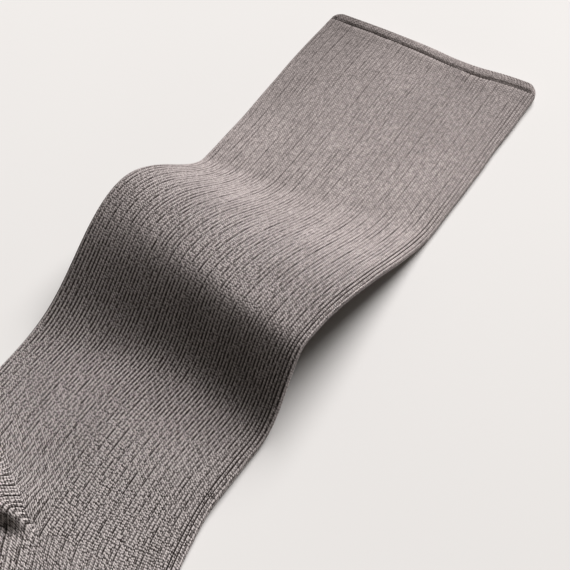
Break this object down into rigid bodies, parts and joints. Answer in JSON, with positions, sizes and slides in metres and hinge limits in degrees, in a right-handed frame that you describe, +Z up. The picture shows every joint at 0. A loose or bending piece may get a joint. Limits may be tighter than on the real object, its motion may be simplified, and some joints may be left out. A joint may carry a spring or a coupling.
{
  "type": "ribbed sock",
  "caption": "Ribbed knitted mid-calf sock, laid flat on its side, with a rolled cuff edge, a turned heel, a closed toe and a soft wave across the leg.",
  "frame": {"origin": "middle of the bounding box, on the surface that the sock rests on", "axes": "+Y towards the cuff, along the sock's greatest length; +X towards the instep side; +Z up off the surface"},
  "size_m": [0.1945, 0.3939, 0.0304],
  "materials": {
    "welt_knit": "matt tubular knit in mauve grey yarn",
    "rib_knit": "matt fine rib knit in mauve grey yarn",
    "plain_knit": "matt plain knit in mauve grey yarn"
  },
  "bodies": {
    "root": {"cuff_welt": "welt_knit", "leg": "rib_knit", "heel_foot": "rib_knit", "toe": "plain_knit"}
  },
  "joints": []
}
